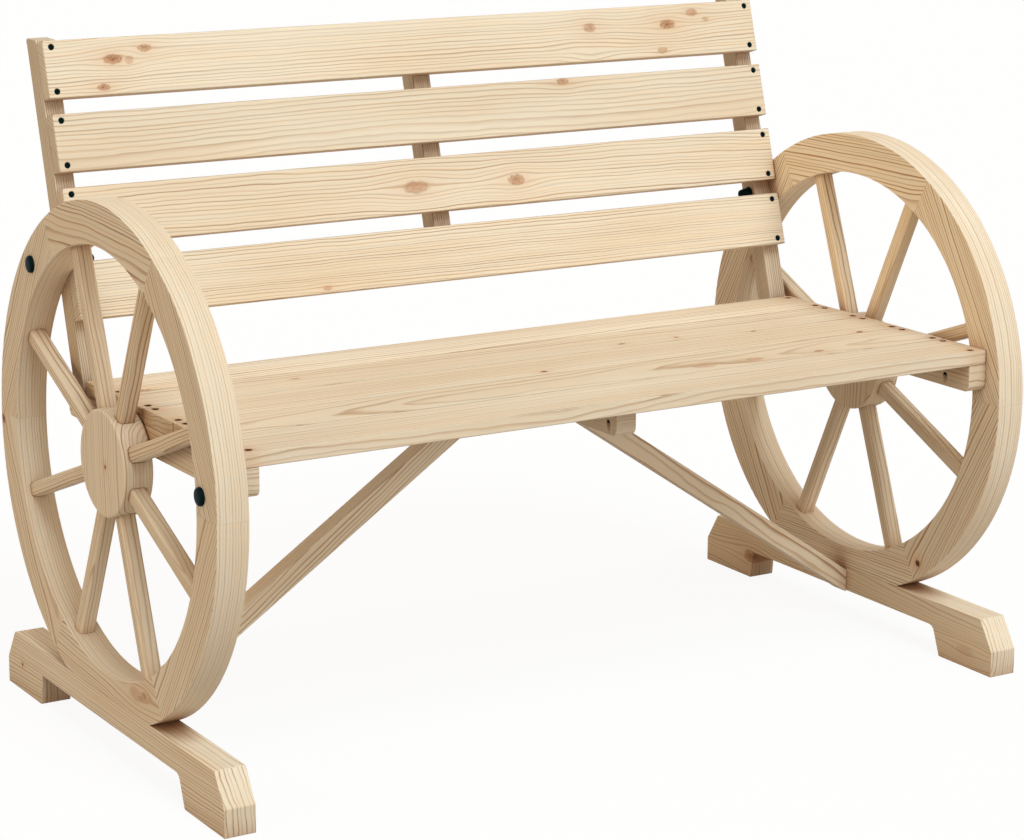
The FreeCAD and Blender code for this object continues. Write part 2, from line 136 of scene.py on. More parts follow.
def linear(colour):
    """A screen colour as the linear RGBA that a node takes."""
    parts = [part / 255 for part in colour]
    parts = [p / 12.92 if p <= 0.04045 else ((p + 0.055) / 1.055) ** 2.4 for p in parts]
    return (*parts, 1.0)


class Graph:
    """Short calls for adding and linking the nodes of one node tree."""

    def __init__(self, tree):
        self.tree = tree

    def add(self, kind, settings=None, **inputs):
        """A node with its settings, and inputs by name, with _ for a space: a value or the socket
        that feeds it."""
        node = self.tree.nodes.new(kind)
        for name, value in (settings or {}).items():
            setattr(node, name, value)
        for name, value in inputs.items():
            self.feed(node.inputs[name.replace("_", " ")], value)
        return node

    def feed(self, socket, value):
        """Links a socket or sets its value."""
        if isinstance(value, bpy.types.NodeSocket):
            self.tree.links.new(value, socket)
        else:
            socket.default_value = value

    def math(self, operation, first, second=0.0, third=0.0, clamp=False):
        """One Math node's result."""
        node = self.tree.nodes.new("ShaderNodeMath")
        node.operation = operation
        node.use_clamp = clamp
        for socket, value in zip(node.inputs, (first, second, third)):
            self.feed(socket, value)
        return node.outputs[0]

    def vector(self, operation, first, second=(0, 0, 0)):
        """One Vector Math node's result."""
        node = self.tree.nodes.new("ShaderNodeVectorMath")
        node.operation = operation
        self.feed(node.inputs[0], first)
        self.feed(node.inputs[1], second)
        return node.outputs["Value" if operation in ("LENGTH", "DOT_PRODUCT") else "Vector"]

    def triple(self, value):
        """A vector that holds one value three times."""
        return self.add("ShaderNodeCombineXYZ", X=value, Y=value, Z=value).outputs[0]

    def noise(self, vector, seed, detail=2.0, output="Fac"):
        """A noise of about one unit's size, different for each seed."""
        settings = {"noise_dimensions": "4D"}
        node = self.add("ShaderNodeTexNoise", settings, Vector=vector, W=seed, Scale=1.0, Detail=detail)
        return node.outputs[output]

    def span(self, value, low, high, new_low=0.0, new_high=1.0, smooth=True):
        """The value from one range to another, held at its ends."""
        node = self.tree.nodes.new("ShaderNodeMapRange")
        node.interpolation_type = "SMOOTHSTEP" if smooth else "LINEAR"
        for socket, part in zip(node.inputs, (value, low, high, new_low, new_high)):
            self.feed(socket, part)
        return node.outputs[0]

    def blend(self, share, first, second, mode="MIX"):
        """Two colours mixed by a share."""
        node = self.tree.nodes.new("ShaderNodeMix")
        node.data_type = "RGBA"
        node.blend_type = mode
        self.feed(node.inputs[MIX_SHARE], share)
        self.feed(node.inputs[MIX_FIRST], first)
        self.feed(node.inputs[MIX_SECOND], second)
        return node.outputs[MIX_RESULT]


def new_group(name, inputs, outputs):
    """An empty node group: its graph, its inputs by name and its output node."""
    tree = bpy.data.node_groups.new(name, "ShaderNodeTree")
    for kind, names in (("INPUT", inputs), ("OUTPUT", outputs)):
        for socket_name, socket_type in names.items():
            tree.interface.new_socket(socket_name, in_out=kind, socket_type="NodeSocket" + socket_type)
    graph = Graph(tree)
    source, sink = tree.nodes.new("NodeGroupInput"), tree.nodes.new("NodeGroupOutput")
    return graph, {socket.name: socket for socket in source.outputs}, sink


def make_knot_group():
    """One knot: the rings part round it, and it has a heart and a halo."""
    inputs = {"Vector": "Vector", "Board": "Vector", "Place": "Vector", "Size": "Vector", "Heart": "Float",
              "Part": "Float", "Mask": "Float", "Halo": "Float", "Depth": "Float"}
    outputs = {"Vector": "Vector", "Mask": "Float", "Halo": "Float", "Depth": "Float"}
    g, given, sink = new_group("knot", inputs, outputs)

    # Distance from the knot's middle, 1 at its edge, with a frayed outline
    offset = g.vector("SUBTRACT", given["Board"], given["Place"])
    offset = g.vector("MULTIPLY", offset, (1, 1, 0))
    fray = g.noise(g.vector("MULTIPLY", given["Board"], KNOT_FRAY), 3.0)
    away = g.vector("LENGTH", g.vector("DIVIDE", offset, given["Size"]))
    distance = g.math("ADD", away, g.math("MULTIPLY", g.math("SUBTRACT", fray, 0.5), 0.7))

    # The rings move aside, most at the knot and less and less round it
    wide = g.vector("LENGTH", g.vector("DIVIDE", offset, g.vector("MULTIPLY", given["Size"], PARTING)))
    near = g.math("EXPONENT", g.math("MULTIPLY", g.math("MULTIPLY", wide, wide), -1.0))
    pull = g.math("MULTIPLY", g.math("MULTIPLY", near, given["Part"]), -1.0)
    shares = g.add("ShaderNodeCombineXYZ", Y=pull).outputs[0]
    moved = g.vector("ADD", given["Vector"], g.vector("MULTIPLY", offset, shares))

    heart = g.math("MULTIPLY", g.span(distance, 1.2, 0.75), given["Heart"])
    halo = g.math("MULTIPLY", g.math("EXPONENT", g.math("MULTIPLY", distance, -0.65)), given["Heart"])
    shown = g.math("MULTIPLY", distance, g.math("GREATER_THAN", heart, 0.02))
    g.feed(sink.inputs["Vector"], moved)
    g.feed(sink.inputs["Mask"], g.math("MAXIMUM", heart, given["Mask"]))
    g.feed(sink.inputs["Halo"], g.math("MAXIMUM", halo, given["Halo"]))
    g.feed(sink.inputs["Depth"], g.math("MAXIMUM", shown, given["Depth"]))
    return g.tree


def bend(g, given, often, reach, detail):
    """How far the rings bend sideways at a place."""
    noise = g.noise(g.vector("MULTIPLY", given["Vector"], often), given["Seed"], detail, "Color")
    return g.vector("MULTIPLY", g.vector("SUBTRACT", noise, (0.5, 0.5, 0.5)), (0, reach, reach))


def pith_distance(g, given, end, turned):
    """Distance from a wandering pith line that runs along the grain. On sawn ends and on a
    felloe's round faces a direction may be held, which leaves straight lines there, and round
    faces share a pith of their own, so that the lines run on round the rim."""
    flat = g.math("SUBTRACT", 1.0, turned)
    held = g.vector("MULTIPLY", given["Ends"], g.triple(end))
    spread = g.vector("MULTIPLY", given["Vector"], g.vector("SUBTRACT", (1, 1, 1), held))
    slow = bend(g, given, SLOW_BENDS, SLOW_BEND_REACH, 1.0)
    quick = bend(g, given, QUICK_BENDS, QUICK_BEND_REACH, 1.5)
    wave = g.math("MULTIPLY", given["Wave"], g.math("MULTIPLY_ADD", flat, 0.88, 0.12))
    bent = g.vector("ADD", g.vector("ADD", spread, g.vector("MULTIPLY", slow, g.triple(wave))), quick)
    part = g.add("ShaderNodeSeparateXYZ", Vector=bent).outputs
    pith_y = g.span(turned, 0.0, 1.0, given["Pith Y"], ROUND_PITH[0])
    pith_z = g.span(turned, 0.0, 1.0, given["Pith Z"], ROUND_PITH[1])
    taper = g.math("MULTIPLY", g.math("MULTIPLY", part[0], given["Taper"]), flat)
    from_y = g.math("SUBTRACT", part[1], pith_y)
    from_z = g.math("SUBTRACT", g.math("SUBTRACT", part[2], pith_z), taper)
    squares = g.math("ADD", g.math("MULTIPLY", from_y, from_y), g.math("MULTIPLY", from_z, from_z))
    return g.math("SQRT", squares)


def late_wood(g, given, radius, turned):
    """The dark late wood of each year: it comes on slowly, stops short and is never the same."""
    seed = given["Seed"]
    years = g.math("DIVIDE", radius, given["Ring"])
    outward = g.add("ShaderNodeCombineXYZ", X=g.math("MULTIPLY", radius, RING_DRIFTS)).outputs[0]
    drift = g.math("SUBTRACT", g.noise(outward, seed), 0.5)
    years = g.math("MULTIPLY_ADD", drift, RING_DRIFT_REACH, years)
    phase = g.math("FRACT", years)
    year = g.math("ADD", g.math("FLOOR", years), seed)
    luck = g.add("ShaderNodeTexWhiteNoise", {"noise_dimensions": "1D"}, W=year).outputs["Value"]
    rise = g.span(phase, 0.44, 0.9)
    fall = g.span(phase, 0.92, 1.0, 1.0, 0.0)
    patchy = g.span(g.noise(g.vector("MULTIPLY", given["Vector"], PATCHES), seed), 0.28, 0.62, 0.5, 1.0)
    late = g.math("MULTIPLY", g.math("POWER", rise, 1.9), fall)
    late = g.math("MULTIPLY", late, g.math("MULTIPLY_ADD", luck, 0.72, 0.28))
    late = g.math("MULTIPLY", g.math("MULTIPLY", late, patchy), given["Lines"], clamp=True)
    return g.math("MULTIPLY", late, g.math("MULTIPLY_ADD", turned, -0.45, 1.0))


def knotted(g, given, colour):
    """Wood with its knots: a halo of darker wood, a reddish heart with rings of its own and a
    dark edge. A mask above 1 is a dead knot, dark all over."""
    mask, depth = given["Mask"], given["Depth"]
    colour = g.blend(g.math("MULTIPLY", given["Halo"], 0.85, clamp=True), colour, linear(KNOT_HALO))
    swirl = g.math("SINE", g.math("MULTIPLY", depth, 17.0))
    flecks = g.noise(g.vector("MULTIPLY", given["Board"], KNOT_FLECKS), given["Seed"], 3.0)
    flecks = g.math("MULTIPLY_ADD", swirl, 0.14, g.span(flecks, 0.42, 0.7, 0.03, 0.8))
    core = g.math("MULTIPLY", g.span(depth, 0.15, 0.6, 0.45, 0.0), g.span(mask, 0.6, 0.9))
    flecks = g.math("ADD", flecks, core)
    flecks = g.math("ADD", flecks, g.span(mask, 1.1, 1.9), clamp=True)
    heart = g.blend(flecks, linear(KNOT_HEART), linear(KNOT_EDGE))
    heart = g.blend(g.span(depth, 0.75, 1.1, 0.0, 0.5), heart, linear(KNOT_EDGE))
    return g.blend(g.math("MULTIPLY", mask, 0.78, clamp=True), colour, heart)


def shaded(g, given, colour, fine, streak, along):
    """Wood shaded by its fibres and streaks; end grain drinks the light."""
    level = g.math("MULTIPLY_ADD", g.math("SUBTRACT", fine, 0.5), 0.2, 1.0)
    level = g.math("MULTIPLY_ADD", g.math("SUBTRACT", streak, 0.5), 0.26, level)
    level = g.math("MULTIPLY", level, given["Tone"])
    level = g.math("MULTIPLY", level, g.math("MULTIPLY_ADD", g.span(along, 0.8, 0.95), -0.1, 1.0))
    shade = g.add("ShaderNodeCombineColor", Red=level, Green=level, Blue=level).outputs[0]
    return g.blend(1.0, colour, shade, "MULTIPLY")


def relief(g, given, late, fine, streak):
    """How rough the wood is and how high it stands: late wood is smoother, and it and the knots
    stand out from the early wood."""
    rough = g.math("MULTIPLY_ADD", fine, 0.22, 0.52)
    rough = g.math("MULTIPLY_ADD", late, -0.10, rough)
    height = g.math("MULTIPLY_ADD", fine, 0.55, g.math("MULTIPLY", streak, 0.5))
    height = g.math("MULTIPLY_ADD", late, 0.85, height)
    return rough, g.math("MULTIPLY_ADD", given["Mask"], 0.9, height)


def make_fir_group():
    """Sawn fir: year rings round a pith line, fibres, blotches, knots and end grain."""
    inputs = {"Vector": "Vector", "Board": "Vector", "Normal": "Vector", "Seed": "Float", "Pith Y": "Float",
              "Pith Z": "Float", "Taper": "Float", "Ring": "Float", "Wave": "Float", "Lines": "Float",
              "Tone": "Float", "Ends": "Vector", "Round": "Float", "Mask": "Float", "Halo": "Float",
              "Depth": "Float"}
    outputs = {"Color": "Color", "Roughness": "Float", "Height": "Float"}
    g, given, sink = new_group("fir", inputs, outputs)
    v, seed = given["Vector"], given["Seed"]

    # 1 on sawn ends and on a felloe's round faces
    normal = g.add("ShaderNodeSeparateXYZ", Vector=given["Normal"]).outputs
    along = g.math("ABSOLUTE", normal[0])
    turned = g.math("MULTIPLY", g.span(g.math("ABSOLUTE", normal[2]), 0.6, 0.4), given["Round"])
    end = g.math("MAXIMUM", g.span(along, 0.42, 0.58), turned)

    late = late_wood(g, given, pith_distance(g, given, end, turned), turned)
    fine = g.noise(g.vector("MULTIPLY", given["Board"], FIBRES), seed, 3.0)
    streak = g.noise(g.vector("MULTIPLY", v, STREAKS), seed, 2.5)
    blotch = g.noise(g.vector("MULTIPLY", v, BLOTCHES), seed)
    warmth = g.math("ADD", blotch, g.math("MULTIPLY", g.math("SUBTRACT", streak, 0.5), 0.9))
    warmth = g.math("MULTIPLY", g.span(warmth, 0.3, 0.75), 0.4)
    colour = g.blend(late, linear(EARLY_WOOD), linear(LATE_WOOD))
    colour = knotted(g, given, g.blend(warmth, colour, linear(WARM_WOOD)))
    rough, height = relief(g, given, late, fine, streak)
    g.feed(sink.inputs["Color"], shaded(g, given, colour, fine, streak, along))
    g.feed(sink.inputs["Roughness"], rough)
    g.feed(sink.inputs["Height"], height)
    return g.tree


KNOT_GROUP = make_knot_group()
FIR_GROUP = make_fir_group()


def new_material(name):
    """A material with its graph and its shader."""
    material = bpy.data.materials.new(name)
    material.use_nodes = True
    return material, Graph(material.node_tree), material.node_tree.nodes["Principled BSDF"]


def edge_wear_and_highlight(g, reach):
    """1 on edges, 0 on faces: where a normal rounded over so many millimetres leaves the true one. It marks
    rubbed edges, and on wood a painted highlight too."""
    soft = g.add("ShaderNodeBevel", {"samples": 4}, Radius=reach * MM)
    true = g.add("ShaderNodeNewGeometry")
    product = g.vector("DOT_PRODUCT", soft.outputs[0], true.outputs["Normal"])
    return g.span(product, WEAR_AND_HIGHLIGHT_START, WEAR_AND_HIGHLIGHT_FULL)


def fir(name, axes, centre, pith, ring, taper=0.02, wave=0.5, lines=0.9, tone=1.0, knots=(), ends=(0, 0, 0),
        bent=0, seed=None):
    """Fir with its grain along the first axis and its middle at a place in metres.

    Pith, ring width and knots are in millimetres. The taper tilts the pith, the wave bends the
    rings, lines is how dark the late wood is and tone how pale the whole board. Ends is the
    direction that the lines keep on sawn ends, and on a felloe, where bent is 1, on its round
    faces. Knots are (place along, place across, half length, half width, how much heart, how far
    the rings part), and a heart of 2 is a dead, dark knot."""
    material, g, shader = new_material(name)
    turn = Matrix(axes).transposed().to_euler()
    coords = g.add("ShaderNodeTexCoord").outputs
    settings = {"vector_type": "TEXTURE"}
    place = g.add("ShaderNodeMapping", settings, Vector=coords["Object"], Location=centre, Rotation=turn)
    facing = g.add("ShaderNodeMapping", settings, Vector=coords["Normal"], Rotation=turn)
    board = place.outputs[0]
    marks = {"Vector": board, "Mask": 0.0, "Halo": 0.0, "Depth": 0.0}
    for along, across, half_length, half_width, heart, parting in knots:
        node = g.add("ShaderNodeGroup", {"node_tree": KNOT_GROUP}, Board=board,
                     Place=(along * MM, across * MM, 0), Size=(half_length * MM, half_width * MM, 1),
                     Heart=heart, Part=parting, **marks)
        marks = {key: node.outputs[key] for key in marks}
    wood = g.add("ShaderNodeGroup", {"node_tree": FIR_GROUP}, Board=board, Normal=facing.outputs[0],
                 Seed=draw.uniform(0, 40) if seed is None else seed, Pith_Y=pith[0] * MM,
                 Pith_Z=pith[1] * MM, Taper=taper, Ring=ring * MM, Wave=wave, Lines=lines,
                 Tone=tone * draw.uniform(0.98, 1.02), Ends=ends, Round=bent, **marks)
    # Paler edges: rubbed wear and a painted highlight along them
    worn_and_highlit = edge_wear_and_highlight(g, 1.5)
    colour = g.blend(g.math("MULTIPLY", worn_and_highlit, 0.3), wood.outputs["Color"], linear(WORN_AND_HIGHLIT_WOOD))
    # Painted shade: the wood goes darker and browner in nooks and creases, where less light reaches
    painted_shade_ao = g.add("ShaderNodeAmbientOcclusion", {"samples": 6}, Distance=PAINTED_SHADE_REACH).outputs["AO"]
    colour = g.blend(g.span(painted_shade_ao, 0.0, 0.95, 0.8, 0.0), colour, linear(PAINTED_NOOK_SHADE), "MULTIPLY")
    bump = g.add("ShaderNodeBump", Strength=0.35, Distance=0.0006, Height=wood.outputs["Height"])
    g.feed(shader.inputs["Base Color"], colour)
    g.feed(shader.inputs["Roughness"], g.math("MULTIPLY_ADD", worn_and_highlit, 0.1, wood.outputs["Roughness"]))
    g.feed(shader.inputs["Normal"], bump.outputs[0])
    shader.inputs["Specular IOR Level"].default_value = 0.2
    return material


def black_steel(name, rough, dark=BLACK_STEEL, pale=BLACK_STEEL_PALE, gloss=0.03):
    """Black coated steel with faint blotches and rubbed edges."""
    material, g, shader = new_material(name)
    vector = g.vector("MULTIPLY", g.add("ShaderNodeTexCoord").outputs["Object"], STEEL_MOTTLE)
    mottle = g.noise(vector, 2.0, 3.0)
    worn_and_highlit = edge_wear_and_highlight(g, 0.3)
    colour = g.blend(mottle, linear(dark), linear(pale))
    colour = g.blend(g.math("MULTIPLY", worn_and_highlit, 0.15), colour, linear(WORN_STEEL))
    bump = g.add("ShaderNodeBump", Strength=0.15, Distance=0.0003, Height=mottle)
    g.feed(shader.inputs["Base Color"], colour)
    g.feed(shader.inputs["Roughness"], g.span(mottle, 0.2, 0.8, rough - 0.08, rough + 0.08))
    g.feed(shader.inputs["Normal"], bump.outputs[0])
    shader.inputs["Metallic"].default_value = 0.0
    shader.inputs["Specular IOR Level"].default_value = gloss
    return material


def box_middle(name):
    """The middle of a CAD node's box."""
    low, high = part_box(name)
    return (low + high) / 2


def dress(name, material, edge):
    """Gives a CAD node its material and rounds its edges by so many millimetres."""
    node = nodes[name]
    for slot in node.material_slots:
        slot.link = "OBJECT"
        slot.material = material
    weld = node.modifiers.new("weld", "WELD")
    weld.merge_threshold = WELD_REACH
    if edge:
        bevel = node.modifiers.new("edge", "BEVEL")
        bevel.width = edge * MM
        bevel.segments = EDGE_SEGMENTS
        bevel.limit_method = "ANGLE"
        bevel.angle_limit = math.radians(EDGE_ANGLE)
        bevel.use_clamp_overlap = False
    node.modifiers.new("normals", "WEIGHTED_NORMAL")


def board_axes(grain, width):
    """A board's axes: along its grain, across its width and out of its face."""
    return (tuple(grain), tuple(width), tuple(Vector(grain).cross(Vector(width))))


# Where the back leans, read off its top and bottom slats
top_slat, low_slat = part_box("back_slat_1")[0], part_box("back_slat_4")[0]
tilt = math.atan2(top_slat.y - low_slat.y, top_slat.z - low_slat.z)
UP_SLOPE = (0.0, math.sin(tilt), math.cos(tilt))
ALONG_BENCH, ACROSS_BENCH, UP = (1, 0, 0), (0, 1, 0), (0, 0, 1)

# Knots by board, in millimetres from the board's middle and as fir() takes them
KNOTS = {
    "back_slat_1": (
        (-425, 8, 12, 6, 1.0, 0.7), (-382, 19, 9, 4.5, 0.8, 0.6), (-404, 6, 6, 5, 0.5, 0.3),
        (-441, -25, 8, 4, 0.9, 0.5),
        (250, 10, 9, 6, 0.7, 0.6), (372, 8, 12, 6, 1.0, 0.7), (413, 22, 9, 5, 0.7, 0.6),
        (359, -26, 8, 4, 0.6, 0.6), (434, 12, 5, 3, 0.5, 0.4), (246, -22, 14, 8, 0.0, 0.8),
    ),
    "back_slat_2": ((197, 30, 9, 4, 0.8, 0.7),),
    "back_slat_3": ((-40, -2, 17, 8, 0.7, 0.8), (107, -4, 12, 7, 0.8, 0.8)),
    "back_slat_4": ((-183, -28, 6, 3, 0.6, 0.5),),
    "seat_plank_2": (
        (161, -18, 17, 9, 0.45, 0.7), (235, -18, 13, 7, 0.6, 0.6), (331, -20, 7, 4, 1.0, 0.6),
    ),
    "seat_plank_3": (
        (-22, -28, 5, 2.6, 1.6, 0.4), (445, -35, 5, 3, 1.6, 0.3), (331, 37, 4, 2.4, 1.6, 0.3),
    ),
    "seat_plank_4": (
        (145, -24, 5, 2.6, 1.2, 0.3), (226, -25, 2.4, 3.6, 1.2, 0.2), (-295, 7, 6, 3, 0.8, 0.4),
    ),
    "seat_plank_5": ((-485, -42, 22, 9, 1.0, 0.6),),
    "left_wheel_felloe_6": ((140, -16, 6, 4, 1.4, 0.5),),
    "left_wheel_felloe_5": ((-82, -25, 17, 8, 0.45, 1.0), (-104, -30, 7, 4, 0.8, 0.6)),
    "right_wheel_felloe_4": ((125, -21, 4.2, 4.2, 2.0, 0.5),),
    "right_foot": ((201, -5, 15, 9, 1.0, 0.8), (-255, -14, 16, 6, 0.3, 0.7)),
    "left_foot": ((259, -1, 2.2, 2.2, 2.0, 0.0),),
    # The left hub's dark spot is painted shade in its pin hole
    "left_wheel_hub": ((-2, -9, 2.4, 1.8, 2.0, 0.0),),
}

# Painted light and shade: how pale the wood of each end is painted, the right end paler and the left end
# darker
SIDE_PAINTED_LIGHT = {"left": 0.985, "right": 1.035}

# Sawing of the seat and back boards, as fir() takes it: pith across and below the board's middle,
# ring width, taper, wave, lines and tone
SAWING = {
    "back_slat_1": ((-96, -58), 3.7, 0.006, 0.30, 0.88, 1.01),
    "back_slat_2": ((-68, -60), 4.6, 0.010, 0.38, 1.15, 0.95),
    "back_slat_3": ((92, -66), 3.6, 0.008, 0.35, 1.05, 0.97),
    "back_slat_4": ((104, -46), 3.0, 0.006, 0.20, 1.15, 0.98),
    "seat_plank_1": ((102, -58), 4.0, 0.010, 0.30, 1.0, 0.98),
    "seat_plank_2": ((-12, -74), 5.0, 0.034, 0.45, 1.15, 0.97),
    "seat_plank_3": ((-80, -52), 4.0, 0.010, 0.35, 1.1, 0.98),
    "seat_plank_4": ((76, -60), 4.2, 0.012, 0.40, 1.2, 0.98),
    "seat_plank_5": ((-62, -66), 4.2, 0.014, 0.40, 1.2, 1.0),
}

# Painted shade round a screw hole in the seat, written as a knot: its reach and its heart
HOLE_SHADE_REACH, HOLE_SHADE_HEART = 4.6, 1.7

# The board axis that lines on sawn ends run straight along: its width, or out of its face
ALONG_WIDTH, OUT_OF_FACE = (0, 1, 0), (0, 0, 1)


def finish_board(name, axes, pith, ring, taper, wave, lines, tone=1.0, edge=1.0, centre=None, marks=(),
                 **ways):
    """Fir on one board from the way that it was sawn."""
    centre = box_middle(name) if centre is None else centre
    knots = (*KNOTS.get(name, ()), *marks)
    dress(name, fir(name + "_fir", axes, centre, pith, ring, taper, wave, lines, tone, knots, **ways), edge)


def any_sawing(ring=(3.0, 4.8), off=(25, 95), below=(25, 70), taper=(-0.02, 0.02)):
    """A random pith, ring width and taper for a board that shows no figure of its own."""
    side = draw.choice((-1, 1))
    pith = (side * draw.uniform(*off), -draw.uniform(*below))
    return pith, draw.uniform(*ring), draw.uniform(*taper)


def screw_hole_shade_marks(name):
    """Painted shade in the rims of the screw holes in one seat plank, written as knots."""
    low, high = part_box(name)
    middle = (low + high) / 2
    marks = []
    for corners in islands("seat_screws"):
        head = farthest(corners, Vector(UP))
        if low.y < head.y < high.y:
            along, across = (head.x - middle.x) / MM, (head.y - middle.y) / MM
            marks.append((along, across, HOLE_SHADE_REACH, HOLE_SHADE_REACH, HOLE_SHADE_HEART, 0.0))
    return marks


def finish_seat_and_back():
    """The planks of the seat and the slats of the back."""
    for name, sawing in SAWING.items():
        if name.startswith("back"):
            finish_board(name, board_axes(ALONG_BENCH, UP_SLOPE), *sawing, edge=0.8)
        else:
            finish_board(name, board_axes(ALONG_BENCH, ACROSS_BENCH), *sawing, edge=0.8, ends=ALONG_WIDTH,
                         marks=screw_hole_shade_marks(name))


def finish_feet():
    """The feet, with straight lines on their sawn ends."""
    for side in ("left", "right"):
        # The foot's tone by side is painted light and shade: the right end paler, the left darker
        finish_board(side + "_foot", board_axes(ACROSS_BENCH, UP), *any_sawing((3.4, 4.4)), wave=0.4,
                     lines=1.1, tone=SIDE_PAINTED_LIGHT[side], edge=1.2, ends=ALONG_WIDTH)


def finish_bearers():
    """The bearers under the seat."""
    for name in ("left_seat_bearer", "centre_seat_bearer", "right_seat_bearer"):
        finish_board(name, board_axes(ACROSS_BENCH, UP), *any_sawing(), wave=0.4, lines=1.1,
                     ends=OUT_OF_FACE)


def finish_posts():
    """The leaning posts and the batten, with fine dark rings and a darker tone that is painted shade from
    the slats above them.
    """
    for name in ("left_back_post", "centre_back_batten", "right_back_post"):
        # The tone of 0.84 is painted shade: the posts darkened for the shade that the slats throw on them
        finish_board(name, board_axes(UP_SLOPE, ALONG_BENCH), *any_sawing((2.2, 2.8), (30, 95)), wave=0.15,
                     lines=1.9, tone=0.84)


def finish_braces():
    """The braces, with straight grain from the centre bearer down to the feet."""
    for side, sign in (("left", -1), ("right", 1)):
        low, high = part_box(side + "_brace")
        grain = Vector((sign * (high.x - low.x), 0, low.z - high.z)).normalized()
        finish_board(side + "_brace", board_axes(grain, ACROSS_BENCH), *any_sawing((2.6, 3.2), (70, 95)),
                     wave=0.06, lines=1.5, tone=1.04)


def finish_rim(side, hub):
    """Felloes with their grain along the chord and one ring width, shared by all six."""
    felloes, half_depth = 6, 25 * MM
    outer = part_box(side + "_wheel_felloe_2")[1].z - hub.z
    ring, seed = draw.uniform(3.2, 4.0), draw.uniform(0, 40)
    for number in range(felloes):
        angle = math.radians(360 / felloes * (number + 0.5))
        radial = Vector((0, math.cos(angle), math.sin(angle)))
        chord = Vector((0, -math.sin(angle), math.cos(angle)))
        pith, _, taper = any_sawing(off=(48, 95))
        name = "%s_wheel_felloe_%d" % (side, number + 1)
        # The felloes' tone by side is painted light and shade: the right end paler, the left darker
        finish_board(name, board_axes(chord, radial), pith, ring, taper, wave=0.42, lines=1.7,
                     tone=SIDE_PAINTED_LIGHT[side], edge=0.5, centre=hub + radial * (outer - half_depth),
                     ends=ALONG_WIDTH, bent=1, seed=seed)


def finish_wheel(side):
    """The rim, spokes with their grain along the radius, and the hub with its grain upright."""
    # The wheel's tone by side is painted light and shade: the right end paler, the left darker
    hub, spokes, tone = box_middle(side + "_wheel_hub"), 8, SIDE_PAINTED_LIGHT[side]
    finish_rim(side, hub)
    for number in range(spokes):
        name = "%s_wheel_spoke_%d" % (side, number + 1)
        radial = (box_middle(name) - hub).normalized()
        across = Vector((0, -radial.z, radial.y))
        finish_board(name, board_axes(radial, across), *any_sawing((2.6, 3.6), (40, 95)), wave=0.2,
                     lines=1.35, tone=tone)
    finish_board(side + "_wheel_hub", board_axes(UP, ACROSS_BENCH), *any_sawing((3.6, 4.6)), wave=0.3,
                 lines=1.0, tone=tone)


def islands(name):
    """The separate solids of a grouped CAD node, each as its list of corners."""
    mesh = nodes[name].data
    spots = [tuple(round(part, TWIN_DECIMALS) for part in vertex.co) for vertex in mesh.vertices]
    last_at = {spot: index for index, spot in enumerate(spots)}
    root = list(range(len(spots)))

    def find(index):
        while root[index] != index:
            root[index] = root[root[index]]
            index = root[index]
        return index

    for index, spot in enumerate(spots):
        root[find(index)] = find(last_at[spot])
    for edge in mesh.edges:
        root[find(edge.vertices[0])] = find(edge.vertices[1])
    groups = {}
    for vertex in mesh.vertices:
        groups.setdefault(find(vertex.index), []).append(vertex.co.copy())
    return [groups[key] for key in sorted(groups)]


def farthest(corners, direction):
    """The middle of a solid's end that lies farthest along a direction."""
    reach = max(corner.dot(direction) for corner in corners)
    end = [corner for corner in corners if reach - corner.dot(direction) < END_DEPTH * MM]
    return sum(end, Vector()) / len(end)


def circle(turn):
    """A circle's reach at an angle, as a share of its radius."""
    return 1.0


def hexagon(turn):
    """The reach of a hexagon with blunted corners, as a share of its corner radius."""
    blunted, sector = 0.975, math.pi / 3
    return min(blunted, math.cos(sector / 2) / math.cos(turn % sector - sector / 2))


def recess(turn):
    """The reach of a cross recess: four arms with a round middle."""
    middle, half_arm = 0.42, 0.16
    off = abs((turn + math.pi / 4) % (math.pi / 2) - math.pi / 4)
    return max(middle, min(1.0, half_arm / max(math.sin(off), half_arm)))


# Outlines of the turned fasteners, from the far end to the face, in millimetres
SUNK_HEAD = (
    (1.8, -28, circle), (1.8, -3.0, circle), (3.55, -2.2, circle), (3.55, -0.5, circle), (3.2, -0.1, circle),
    (2.5, 0, circle), (2.0, 0, recess), (1.88, -0.12, recess), (1.5, -1.5, recess),
)
DOMED_BOLT = (
    (4.0, -55, circle), (4.0, -5.0, circle), (10.1, -5.0, circle), (10.3, -4.8, circle),
    (10.3, -2.6, circle), (10.0, -1.8, circle), (9.3, -1.1, circle), (7.9, -0.55, circle),
    (5.6, -0.2, circle), (2.8, -0.04, circle), (0.9, 0, circle),
)
DOMED_NUT = (
    (6.4, -15, circle), (7.3, -14.8, hexagon), (7.5, -14.5, hexagon), (7.5, -9.0, hexagon),
    (7.3, -8.7, hexagon), (6.3, -8.5, circle), (6.0, -8.2, circle), (6.0, -5.4, circle),
    (5.6, -3.4, circle), (4.6, -1.6, circle), (3.0, -0.5, circle), (1.1, 0, circle),
)


def turned_mesh(name, rings, sides=48):
    """A closed mesh from rings of (radius, height, outline) in millimetres, the axis up."""
    points, faces = [], []
    for radius, height, outline in rings:
        for step in range(sides):
            turn = 2 * math.pi * step / sides
            reach = radius * MM * outline(turn)
            points.append((reach * math.cos(turn), reach * math.sin(turn), height * MM))
    for row in range(len(rings) - 1):
        for step in range(sides):
            after = (step + 1) % sides
            low, high = row * sides, (row + 1) * sides
            faces.append((low + step, low + after, high + after, high + step))
    faces.append(tuple(range(sides - 1, -1, -1)))
    last = (len(rings) - 1) * sides
    faces.append(tuple(last + step for step in range(sides)))
    mesh = bpy.data.meshes.new(name)
    mesh.from_pydata(points, [], faces)
    mesh.update()
    return mesh


